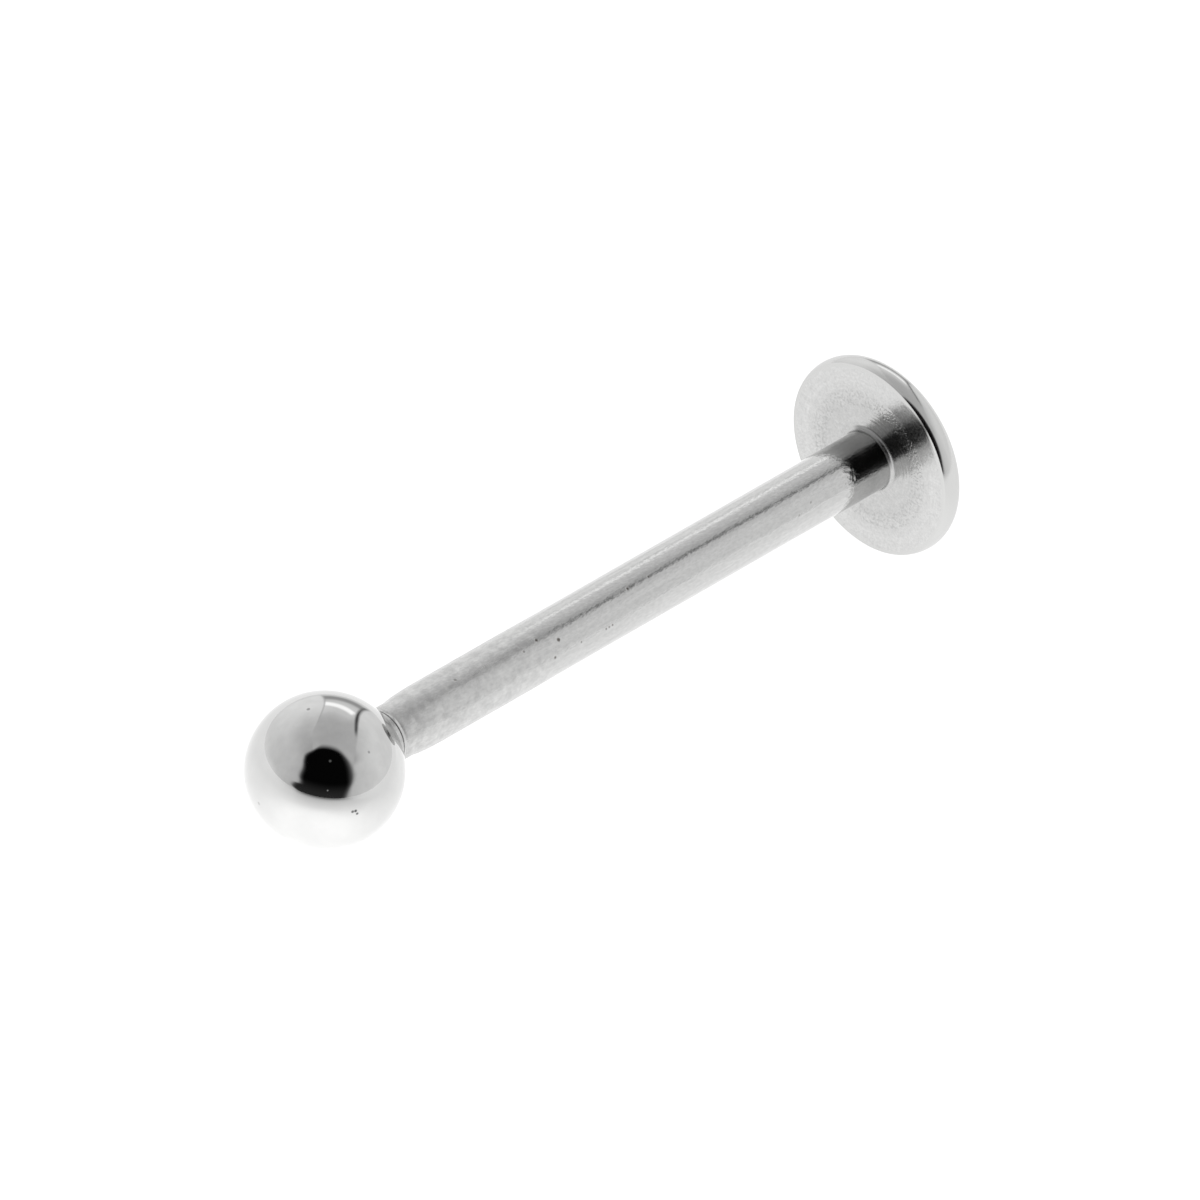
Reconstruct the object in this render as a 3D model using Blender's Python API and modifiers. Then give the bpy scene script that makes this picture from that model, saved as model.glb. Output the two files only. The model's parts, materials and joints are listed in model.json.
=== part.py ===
# Labret stud: a straight post with a flat round back, closed by a ball that screws on.
# Units are metres and +Z is up. The stud lies on its ball and on the rim of its back,
# with the post along X and the back at +X. The origin is the middle of its base.
from math import atan2, ceil, cos, pi, sin, sqrt, tan

import bmesh
import bpy

MM = 0.001

# Driving sizes of the post, from the back's inner face to the neck behind the ball
POST_DIAMETER = 1.2 * MM
POST_LENGTH = 13.0 * MM
ROOT_FILLET = 0.07 * MM
TAPER_LENGTH = 0.6 * MM
NECK_DIAMETER = 1.1 * MM
NECK_LENGTH = 0.4 * MM
SHOULDER_ROUND = 0.04 * MM

# Driving sizes of the flat back
DISC_DIAMETER = 4.0 * MM
DISC_THICKNESS = 0.56 * MM
WIDEST_DEPTH = 0.23 * MM
FACE_EDGE_WIDTH = 0.15 * MM
BACK_EDGE_WIDTH = 0.33 * MM

# Driving sizes of the thread, a right-hand one with 60-degree flanks
THREAD_DIAMETER = 1.0 * MM
THREAD_PITCH = 0.25 * MM
THREAD_LENGTH = 2.2 * MM
TIP_BEVEL = 0.05 * MM
THREAD_DEPTH_SHARE = 0.6134
CREST_SHARE = 0.125
FLANK_ANGLE = pi / 6

# Driving sizes of the ball and its threaded mouth
BALL_DIAMETER = 3.0 * MM
MOUTH_LAND = 0.03 * MM
MOUTH_CHAMFER = 0.05 * MM

# Fits
THREAD_CLEARANCE = 0.05 * MM
TIP_CLEARANCE = 0.15 * MM
MOUTH_GAP = 0.20 * MM

# How finely the turned shapes are cut, and how far joined solids reach into each other
TURN_STEPS = 56
THREAD_STEPS = 28
ROUND_STEPS = 6
CORNER_STEPS = 3
BALL_STEPS = 26
OVERLAP = 0.02 * MM
MERGE_DISTANCE = 0.001 * MM
SHARP_ANGLE = pi / 6
HALVINGS = 50

# Colour and roughness of the two finishes
POST_COLOUR = (0.62, 0.62, 0.61, 1.0)
POST_ROUGHNESS = 0.22
BALL_COLOUR = (0.70, 0.70, 0.69, 1.0)
BALL_ROUGHNESS = 0.05

# Sizes that follow from those above
CORE_RADIUS = 0.5 * THREAD_DIAMETER - THREAD_DEPTH_SHARE * THREAD_PITCH
TIP_HEIGHT = -POST_LENGTH - THREAD_LENGTH
BALL_RADIUS = 0.5 * BALL_DIAMETER
BORE_RADIUS = 0.5 * THREAD_DIAMETER + THREAD_CLEARANCE
MOUTH_RADIUS = BORE_RADIUS + MOUTH_CHAMFER + MOUTH_LAND
MOUTH_HEIGHT = sqrt(BALL_RADIUS**2 - MOUTH_RADIUS**2)
BALL_CENTRE = -POST_LENGTH - MOUTH_GAP - MOUTH_HEIGHT
HALF_FACET = pi / TURN_STEPS


def start_clean():
    for old in list(bpy.data.objects):
        bpy.data.objects.remove(old, do_unlink=True)


def collection_named(name):
    collection = bpy.data.collections.new(name)
    bpy.context.scene.collection.children.link(collection)
    return collection


def arc(centre, half_width, half_height, start, end, steps):
    """Points (radius, height) along an ellipse, with its angles counted outward from the top."""
    points = []
    for i in range(steps + 1):
        angle = start + (end - start) * i / steps
        points.append((centre[0] + half_width * sin(angle), centre[1] + half_height * cos(angle)))
    return points


def disc_outline():
    """The back, from the middle of its outer side round the rim to its inner face at height 0."""
    radius = 0.5 * DISC_DIAMETER
    back_edge = (radius - BACK_EDGE_WIDTH, WIDEST_DEPTH)
    face_edge = (radius - FACE_EDGE_WIDTH, WIDEST_DEPTH)
    back_height = DISC_THICKNESS - WIDEST_DEPTH
    rim = arc(back_edge, BACK_EDGE_WIDTH, back_height, 0, pi / 2, ROUND_STEPS)
    rim += arc(face_edge, FACE_EDGE_WIDTH, WIDEST_DEPTH, pi / 2, pi, ROUND_STEPS)[1:]
    return [(0.0, DISC_THICKNESS)] + rim


def post_outline():
    """The post, from the fillet at its root along the straight and the taper to its shoulder."""
    radius = 0.5 * POST_DIAMETER
    neck = 0.5 * NECK_DIAMETER
    root = arc((radius + ROOT_FILLET, -ROOT_FILLET), ROOT_FILLET, ROOT_FILLET, 0, -pi / 2, CORNER_STEPS)
    neck_start = NECK_LENGTH - POST_LENGTH
    taper = []
    for i in range(ROUND_STEPS + 1):
        share = i / ROUND_STEPS
        ease = 0.5 - 0.5 * cos(pi * share)
        taper.append((radius + (neck - radius) * ease, neck_start + TAPER_LENGTH * (1 - share)))
    shoulder_centre = (neck - SHOULDER_ROUND, SHOULDER_ROUND - POST_LENGTH)
    shoulder = arc(shoulder_centre, SHOULDER_ROUND, SHOULDER_ROUND, pi / 2, pi, CORNER_STEPS)
    return root + taper + shoulder


def core_outline():
    """The thread's core, from the shoulder to its chamfered tip."""
    return [
        (CORE_RADIUS, -POST_LENGTH),
        (CORE_RADIUS, TIP_HEIGHT + TIP_BEVEL),
        (CORE_RADIUS - TIP_BEVEL, TIP_HEIGHT),
        (0.0, TIP_HEIGHT),
    ]


def blank_outline():
    """The space that the thread's ridge may fill: from just inside the shoulder to a cone at the tip."""
    radius = 0.5 * THREAD_DIAMETER + OVERLAP
    inside = CORE_RADIUS - 2 * OVERLAP
    top = OVERLAP - POST_LENGTH
    bottom = TIP_HEIGHT + OVERLAP
    return [
        (0.0, top),
        (radius, top),
        (radius, bottom + radius - inside),
        (inside, bottom),
        (0.0, bottom),
    ]


def ball_outline():
    """The ball about its centre, from the bore's bottom out of the mouth and round to the far pole."""
    bore_bottom = TIP_HEIGHT - TIP_CLEARANCE - BALL_CENTRE
    bore = [
        (0.0, bore_bottom),
        (BORE_RADIUS, bore_bottom),
        (BORE_RADIUS, MOUTH_HEIGHT - MOUTH_CHAMFER),
        (BORE_RADIUS + MOUTH_CHAMFER, MOUTH_HEIGHT),
    ]
    mouth_angle = atan2(MOUTH_RADIUS, MOUTH_HEIGHT)
    skin = arc((0.0, 0.0), BALL_RADIUS, BALL_RADIUS, mouth_angle, pi, BALL_STEPS)
    return bore + skin[:-1] + [(0.0, -BALL_RADIUS)]


def turned(name, outline, collection):
    """A solid turned about the local Z axis from an outline of (radius, height) points."""
    mesh = bpy.data.meshes.new(name)
    edges = [(i, i + 1) for i in range(len(outline) - 1)]
    mesh.from_pydata([(radius, 0.0, height) for radius, height in outline], edges, [])
    piece = bpy.data.objects.new(name, mesh)
    collection.objects.link(piece)
    screw = piece.modifiers.new("Turn", "SCREW")
    screw.axis = "Z"
    screw.steps = TURN_STEPS
    screw.render_steps = TURN_STEPS
    screw.use_merge_vertices = True
    screw.merge_threshold = MERGE_DISTANCE
    return piece


def thread_ridge(collection):
    """One ridge wound round the core, run past both ends of the thread so that the blank trims it."""
    radius = 0.5 * THREAD_DIAMETER
    sunk = CORE_RADIUS - OVERLAP
    crest = 0.5 * CREST_SHARE * THREAD_PITCH
    foot = crest + (radius - sunk) * tan(FLANK_ANGLE)
    turns = ceil(THREAD_LENGTH / THREAD_PITCH) + 2
    start = TIP_HEIGHT - THREAD_PITCH
    section = [
        (sunk, start - foot),
        (radius, start - crest),
        (radius, start + crest),
        (sunk, start + foot),
    ]
    build = bmesh.new()
    corners = [build.verts.new((x, 0.0, z)) for x, z in section]
    end_face = build.faces.new(corners)
    bmesh.ops.spin(
        build,
        geom=[end_face, *end_face.edges, *end_face.verts],
        cent=(0.0, 0.0, 0.0),
        axis=(0.0, 0.0, 1.0),
        dvec=(0.0, 0.0, THREAD_PITCH / THREAD_STEPS),
        angle=2 * pi * turns,
        steps=THREAD_STEPS * turns,
    )
    bmesh.ops.recalc_face_normals(build, faces=build.faces)
    mesh = bpy.data.meshes.new("thread_ridge")
    build.to_mesh(mesh)
    build.free()
    ridge = bpy.data.objects.new("thread_ridge", mesh)
    collection.objects.link(ridge)
    return ridge


def boolean(piece, operation, other):
    step = piece.modifiers.new(other.name, "BOOLEAN")
    step.operation = operation
    step.object = other
    step.solver = "EXACT"


def as_cutter(piece):
    piece.hide_render = True
    piece.display_type = "WIRE"


def finished(piece, material):
    """Settles a piece's modifiers into its mesh and shades it smooth between its real edges."""
    bpy.context.view_layer.update()
    shape = piece.evaluated_get(bpy.context.evaluated_depsgraph_get())
    mesh = bpy.data.meshes.new_from_object(shape)
    mesh.name = piece.name
    mesh.materials.clear()
    mesh.materials.append(material)
    mesh.shade_smooth()
    mesh.set_sharp_from_angle(angle=SHARP_ANGLE)
    piece.modifiers.clear()
    piece.data = mesh


def steel(name, colour, roughness):
    material = bpy.data.materials.new(name)
    material.use_nodes = True
    shader = material.node_tree.nodes["Principled BSDF"]
    shader.inputs["Base Color"].default_value = colour
    shader.inputs["Metallic"].default_value = 1.0
    shader.inputs["Roughness"].default_value = roughness
    return material


def lowest(outline, offset, tilt):
    """The lowest point of a turned outline when its axis rises by tilt towards +X."""
    facet = cos(HALF_FACET)
    return min((offset + z) * sin(tilt) - r * facet * cos(tilt) for r, z in outline)


def resting_tilt(disc, ball):
    """The tilt at which the back's rim and the ball touch the same level surface, by halving a range."""
    low, high = -pi / 4, pi / 4
    for _ in range(HALVINGS):
        tilt = 0.5 * (low + high)
        if lowest(disc, 0.0, tilt) < lowest(ball, BALL_CENTRE, tilt):
            low = tilt
        else:
            high = tilt
    return 0.5 * (low + high)


def base_middle(disc, ball, tilt):
    """Where the middle of the lying stud's length falls along X, from the back's inner face."""
    facet = cos(HALF_FACET)
    back = max(z * cos(tilt) + r * facet * sin(tilt) for r, z in disc)
    front = min((BALL_CENTRE + z) * cos(tilt) - r * facet * sin(tilt) for r, z in ball)
    return 0.5 * (back + front)


def build_stud():
    start_clean()
    parts = collection_named("labret_stud")
    cutters = collection_named("cutters")
    disc = disc_outline()
    ball = ball_outline()
    tilt = resting_tilt(disc, ball)

    post_axis = bpy.data.objects.new("post_axis", None)
    post_axis.location = (-base_middle(disc, ball, tilt), 0.0, -lowest(disc, 0.0, tilt))
    post_axis.rotation_euler = (0.0, pi / 2 - tilt, 0.0)
    parts.objects.link(post_axis)

    blank = turned("thread_blank", blank_outline(), cutters)
    ridge = thread_ridge(cutters)
    boolean(ridge, "INTERSECT", blank)

    post = turned("flat_back_post", disc + post_outline() + core_outline(), parts)
    boolean(post, "UNION", ridge)
    finished(post, steel("satin_steel", POST_COLOUR, POST_ROUGHNESS))

    screw_ball = turned("screw_ball", ball, parts)
    finished(screw_ball, steel("polished_steel", BALL_COLOUR, BALL_ROUGHNESS))
    screw_ball.location = (0.0, 0.0, BALL_CENTRE)

    for cutter in (blank, ridge):
        as_cutter(cutter)
    for piece in (post, screw_ball):
        piece.parent = post_axis
        piece.rotation_euler = (0.0, 0.0, HALF_FACET)


build_stud()
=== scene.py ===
import json
from math import atan2, cos, exp, pi, radians, sin, sqrt

import bpy
from mathutils import Matrix, Vector


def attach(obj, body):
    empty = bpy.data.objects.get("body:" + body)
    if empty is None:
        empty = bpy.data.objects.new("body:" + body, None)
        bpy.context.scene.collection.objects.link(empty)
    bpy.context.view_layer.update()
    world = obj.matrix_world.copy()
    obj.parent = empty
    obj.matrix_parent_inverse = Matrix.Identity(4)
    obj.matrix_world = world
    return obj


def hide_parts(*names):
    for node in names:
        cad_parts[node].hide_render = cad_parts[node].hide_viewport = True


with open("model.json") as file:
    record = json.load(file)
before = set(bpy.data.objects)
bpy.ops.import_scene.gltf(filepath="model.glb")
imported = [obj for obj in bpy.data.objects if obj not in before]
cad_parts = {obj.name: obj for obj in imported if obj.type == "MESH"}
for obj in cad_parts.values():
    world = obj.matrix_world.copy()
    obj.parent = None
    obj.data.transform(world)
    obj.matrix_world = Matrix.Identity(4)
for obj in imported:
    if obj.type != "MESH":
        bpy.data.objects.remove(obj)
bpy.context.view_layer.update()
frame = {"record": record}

# Flat back
# The round back that sits inside the lip: a 4 mm disc of surgical steel, faced
# on a lathe and then polished, with a crisp edge round its face and a fuller
# round on its rim. It is one piece with the post, whose root it meets in a ring.
BACK_MOUNT = next(m for m in frame["record"]["mounts"] if m["name"] == "back_face")
POST_DIRECTION = Vector(BACK_MOUNT["axis"]).normalized()
BACK_THICKNESS = 0.56e-3
FACE_MIDDLE = Vector(BACK_MOUNT["pos_m"]) - BACK_THICKNESS * POST_DIRECTION

BACK_RADIUS = 2.0e-3
FACE_RADIUS = 1.875e-3
EDGE_ROUND = 0.17e-3
EDGE_ROUND_END = radians(25)
RIM_START = radians(55)
RIM_TIGHT = 0.265e-3
RIM_TURN = radians(75)
POST_RADIUS = 0.6e-3
ROOT_RING_ROUND = 0.08e-3
TURNING_GROOVES = (0.87e-3, 0.95e-3, 1.03e-3, 1.44e-3)
GROOVE_WIDTH = 0.03e-3
GROOVE_DEPTH = 0.0012e-3
FLAT_MIDDLE = 0.8e-3
TURNING_FACETS = 256
CRISP_ANGLE = radians(22)
RIM_COLOUR = (0.54, 0.54, 0.535)
RIM_ROUGHNESS = 0.15
FACE_DARK = (0.40, 0.40, 0.397)
FACE_LIGHT = (0.70, 0.70, 0.695)
FACE_ROUGHNESS = 0.20
FACE_SKIN = 0.05e-3
ROOT_DULLNESS = 0.12
BLASTED_RING = (1.06e-3, 1.12e-3, 1.38e-3, 1.44e-3)
BUFFED_RING = (1.1e-3, 1.65e-3)
BUFFED_GAIN = 0.24
RING_FINENESS = 14000.0
RING_RELIEF = 0.35e-6
CLOUD_FINENESS = 6500.0
CLOUD_RELIEF = 3.0e-6
GRAIN_FINENESS = 19000.0
GRAIN_RELIEF = 0.25e-6
DENT_FINENESS = 17000.0
DENT_DEPTH = 1.5e-6
DENT_SHADE = 0.22
# Painted dark reflection: the colour laid on one side of the post's root, on the back's face and on the
# post.
PAINTED_REFLECTION_COLOUR = (0.16, 0.16, 0.16)
ROOT_PAINTED_REFLECTION = 0.75
ROOT_REFLECTION_RISE = (40, 60)
ROOT_REFLECTION_FALL = (112, 140)


def turned_steel_tree():
    """Turns an outline of (radius, 0, height) points into a closed solid about an axis in space."""
    tree = bpy.data.node_groups.new("turned_steel", "GeometryNodeTree")
    for name, kind in (
        ("Outline", "NodeSocketGeometry"),
        ("Facets", "NodeSocketInt"),
        ("Foot", "NodeSocketVector"),
        ("Axis", "NodeSocketVector"),
        ("Crisp angle", "NodeSocketFloat"),
        ("Steel", "NodeSocketMaterial"),
    ):
        tree.interface.new_socket(name, in_out="INPUT", socket_type=kind)
    tree.interface.new_socket("Solid", in_out="OUTPUT", socket_type="NodeSocketGeometry")
    nodes, links = tree.nodes, tree.links
    given = nodes.new("NodeGroupInput")
    result = nodes.new("NodeGroupOutput")

    def whole(operation, first, second):
        node = nodes.new("FunctionNodeIntegerMath")
        node.operation = operation
        links.new(first, node.inputs[0])
        if isinstance(second, int):
            node.inputs[1].default_value = second
        else:
            links.new(second, node.inputs[1])
        return node.outputs[0]

    def number(operation, first, second=None):
        node = nodes.new("ShaderNodeMath")
        node.operation = operation
        for socket, value in zip(node.inputs, (first, second)):
            if isinstance(value, (int, float)):
                socket.default_value = value
            elif value is not None:
                links.new(value, socket)
        return node.outputs[0]

    count = nodes.new("GeometryNodeAttributeDomainSize")
    links.new(given.outputs["Outline"], count.inputs[0])
    columns = whole("ADD", given.outputs["Facets"], 1)
    grid = nodes.new("GeometryNodeMeshGrid")
    links.new(count.outputs["Point Count"], grid.inputs["Vertices X"])
    links.new(columns, grid.inputs["Vertices Y"])
    index = nodes.new("GeometryNodeInputIndex").outputs[0]
    row = whole("DIVIDE_FLOOR", index, columns)
    column = whole("MODULO", index, columns)

    place = nodes.new("GeometryNodeInputPosition").outputs[0]
    sample = nodes.new("GeometryNodeSampleIndex")
    sample.data_type = "FLOAT_VECTOR"
    links.new(given.outputs["Outline"], sample.inputs["Geometry"])
    links.new(place, sample.inputs["Value"])
    links.new(row, sample.inputs["Index"])
    split = nodes.new("ShaderNodeSeparateXYZ")
    links.new(sample.outputs[0], split.inputs[0])

    share = number("DIVIDE", whole("MODULO", column, given.outputs["Facets"]), given.outputs["Facets"])
    angle = number("MULTIPLY", share, 2 * pi)
    join = nodes.new("ShaderNodeCombineXYZ")
    links.new(number("MULTIPLY", split.outputs["X"], number("COSINE", angle)), join.inputs["X"])
    links.new(number("MULTIPLY", split.outputs["X"], number("SINE", angle)), join.inputs["Y"])
    links.new(split.outputs["Z"], join.inputs["Z"])
    shape = nodes.new("GeometryNodeSetPosition")
    links.new(grid.outputs["Mesh"], shape.inputs["Geometry"])
    links.new(join.outputs[0], shape.inputs["Position"])

    closed = nodes.new("GeometryNodeMergeByDistance")
    closed.inputs["Distance"].default_value = 2e-8
    links.new(shape.outputs[0], closed.inputs["Geometry"])

    smooth = nodes.new("GeometryNodeSetShadeSmooth")
    smooth.domain = "FACE"
    links.new(closed.outputs[0], smooth.inputs["Geometry"])
    bend = nodes.new("GeometryNodeInputMeshEdgeAngle")
    crisp = nodes.new("GeometryNodeSetShadeSmooth")
    crisp.domain = "EDGE"
    crisp.inputs["Shade Smooth"].default_value = False
    links.new(smooth.outputs[0], crisp.inputs["Geometry"])
    links.new(
        number("GREATER_THAN", bend.outputs["Unsigned Angle"], given.outputs["Crisp angle"]),
        crisp.inputs["Selection"],
    )

    lean = nodes.new("FunctionNodeAlignRotationToVector")
    lean.axis = "Z"
    links.new(given.outputs["Axis"], lean.inputs["Vector"])
    stand = nodes.new("GeometryNodeTransform")
    links.new(crisp.outputs[0], stand.inputs["Geometry"])
    links.new(given.outputs["Foot"], stand.inputs["Translation"])
    links.new(lean.outputs[0], stand.inputs["Rotation"])

    real = nodes.new("GeometryNodeRealizeInstances")
    links.new(stand.outputs[0], real.inputs["Geometry"])
    steel = nodes.new("GeometryNodeSetMaterial")
    links.new(real.outputs[0], steel.inputs["Geometry"])
    links.new(given.outputs["Steel"], steel.inputs["Material"])
    links.new(steel.outputs[0], result.inputs["Solid"])
    return tree


TURNED_STEEL = turned_steel_tree()


def settled(piece, tree, **sizes):
    """Runs a Geometry Nodes tree on a piece with these sizes and keeps the result as its plain mesh."""
    step = piece.modifiers.new(tree.name, "NODES")
    step.node_group = tree
    sockets = {item.name: item.identifier for item in tree.interface.items_tree if item.in_out == "INPUT"}
    for name, value in sizes.items():
        step[sockets[name.replace("_", " ")]] = value
    bpy.context.view_layer.update()
    mesh = bpy.data.meshes.new_from_object(piece.evaluated_get(bpy.context.evaluated_depsgraph_get()))
    mesh.name = piece.name
    piece.modifiers.clear()
    piece.data = mesh
    return piece


def outline_piece(name, points):
    """A new piece whose mesh is only an outline, ready to be turned."""
    wire = bpy.data.meshes.new(name)
    wire.from_pydata([(radius, 0.0, height) for radius, height in points],
                     [(i, i + 1) for i in range(len(points) - 1)], [])
    piece = bpy.data.objects.new(name, wire)
    bpy.context.scene.collection.objects.link(piece)
    return piece


def turned(name, points, steel, foot=FACE_MIDDLE, facets=TURNING_FACETS):
    """A piece turned from its outline about the post's line, with its foot at a point on that line."""
    return settled(outline_piece(name, points), TURNED_STEEL, Facets=facets, Foot=foot,
                   Axis=POST_DIRECTION, Crisp_angle=CRISP_ANGLE, Steel=steel)


def arc(centre, round_radius, start, end, steps):
    """Points on a circle, with angles counted from the face's side (0) to the back's side (pi)."""
    points = []
    for i in range(steps + 1):
        angle = start + (end - start) * i / steps
        points.append((centre[0] + round_radius * sin(angle), centre[1] - round_radius * cos(angle)))
    return points


def steel_shader(name, colour, roughness, edge_tint=0.86):
    """A bare polished steel, whose detail is linked in by the piece that wears it."""
    material = bpy.data.materials.new(name)
    material.use_nodes = True
    shader = material.node_tree.nodes["Principled BSDF"]
    shader.inputs["Base Color"].default_value = (*colour, 1.0)
    shader.inputs["Metallic"].default_value = 1.0
    shader.inputs["Roughness"].default_value = roughness
    shader.inputs["Specular Tint"].default_value = (edge_tint, edge_tint, edge_tint, 1.0)
    return material


class Wiring:
    """Short calls for one material's nodes, all on the piece's own Object coordinates."""

    def __init__(self, material):
        self.nodes, self.links = material.node_tree.nodes, material.node_tree.links
        self.shader = self.nodes.get("Principled BSDF")

    def give(self, socket, value):
        if isinstance(value, bpy.types.NodeSocket):
            self.links.new(value, socket)
        else:
            socket.default_value = value

    def math(self, operation, *values):
        node = self.nodes.new("ShaderNodeMath")
        node.operation = operation
        for socket, value in zip(node.inputs, values):
            self.give(socket, value)
        return node.outputs[0]

    def along_axis(self, scale, foot=FACE_MIDDLE):
        """Object coordinates with Z run along the post from the back's face, stretched by scale."""
        turn = POST_DIRECTION.to_track_quat("Z", "Y").inverted()
        where = self.nodes.new("ShaderNodeTexCoord")
        frame_of_post = self.nodes.new("ShaderNodeMapping")
        frame_of_post.inputs["Rotation"].default_value = turn.to_euler("XYZ")
        frame_of_post.inputs["Location"].default_value = -(turn @ foot)
        stretch = self.nodes.new("ShaderNodeMapping")
        stretch.inputs["Scale"].default_value = scale
        self.links.new(where.outputs["Object"], frame_of_post.inputs["Vector"])
        self.links.new(frame_of_post.outputs[0], stretch.inputs["Vector"])
        return stretch.outputs[0]

    def noise(self, vector, scale=1.0, detail=2.0, roughness=0.5):
        node = self.nodes.new("ShaderNodeTexNoise")
        self.links.new(vector, node.inputs["Vector"])
        node.inputs["Scale"].default_value = scale
        node.inputs["Detail"].default_value = detail
        node.inputs["Roughness"].default_value = roughness
        return node.outputs[0]

    def ranged(self, value, from_low, from_high, to_low, to_high, kind="LINEAR"):
        node = self.nodes.new("ShaderNodeMapRange")
        node.interpolation_type = kind
        self.links.new(value, node.inputs["Value"])
        for name, number in (
            ("From Min", from_low),
            ("From Max", from_high),
            ("To Min", to_low),
            ("To Max", to_high),
        ):
            node.inputs[name].default_value = number
        return node.outputs["Result"]

    def fade(self, value, from_low, from_high, to_low, to_high):
        return self.ranged(value, from_low, from_high, to_low, to_high, "SMOOTHSTEP")

    def split(self, vector):
        node = self.nodes.new("ShaderNodeSeparateXYZ")
        self.links.new(vector, node.inputs[0])
        return node.outputs

    def from_axis(self, parts):
        """Distance from the post's middle line."""
        return self.math("SQRT", self.math("ADD", self.math("POWER", parts[0], 2.0),
                                           self.math("POWER", parts[1], 2.0)))

    def side(self, parts, rise, fall):
        """1 on one side of the post, from a rise to a fall in degrees round it from +Y towards +Z."""
        around = self.math("ARCTAN2", parts[1], parts[0])
        return self.math("MULTIPLY", self.fade(around, radians(rise[0]), radians(rise[1]), 0.0, 1.0),
                         self.fade(around, radians(fall[0]), radians(fall[1]), 1.0, 0.0))

    def spots(self, place, spots, core):
        """Small round marks at given points, full in their core and fading out to their radius."""
        specks_and_bore_shade = None
        for middle, size, strength in spots:
            away = self.nodes.new("ShaderNodeVectorMath")
            away.operation = "DISTANCE"
            self.links.new(place, away.inputs[0])
            away.inputs[1].default_value = middle
            spot = self.fade(away.outputs["Value"], core * size, size, strength, 0.0)
            specks_and_bore_shade = spot if specks_and_bore_shade is None else self.math("MAXIMUM", specks_and_bore_shade, spot)
        return specks_and_bore_shade

    def curve(self, value, reach, top, points):
        """A smooth curve through a few (value, result) points, from 0 to reach and up to top."""
        node = self.nodes.new("ShaderNodeFloatCurve")
        node.mapping.extend = "HORIZONTAL"
        line = node.mapping.curves[0].points
        while len(line) < len(points):
            line.new(1.0, 1.0)
        for spot, (at, result) in zip(line, points):
            spot.location = (at / reach, result / top)
            spot.handle_type = "AUTO_CLAMPED"
        node.mapping.update()
        self.links.new(self.math("DIVIDE", value, reach), node.inputs["Value"])
        return self.math("MULTIPLY", node.outputs[0], top)

    def mixed(self, factor, low, high):
        """One colour laid over another, where either may come from nodes."""
        node = self.nodes.new("ShaderNodeMix")
        node.data_type = "RGBA"
        self.links.new(factor, node.inputs["Factor"])
        self.give(node.inputs[6], (*low, 1.0) if isinstance(low, tuple) else low)
        self.give(node.inputs[7], (*high, 1.0) if isinstance(high, tuple) else high)
        return node.outputs[2]

    def bump(self, height, distance, under=None):
        node = self.nodes.new("ShaderNodeBump")
        node.inputs["Distance"].default_value = distance
        node.inputs["Strength"].default_value = 1.0
        self.links.new(height, node.inputs["Height"])
        if under is not None:
            self.links.new(under, node.inputs["Normal"])
        return node.outputs[0]


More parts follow.
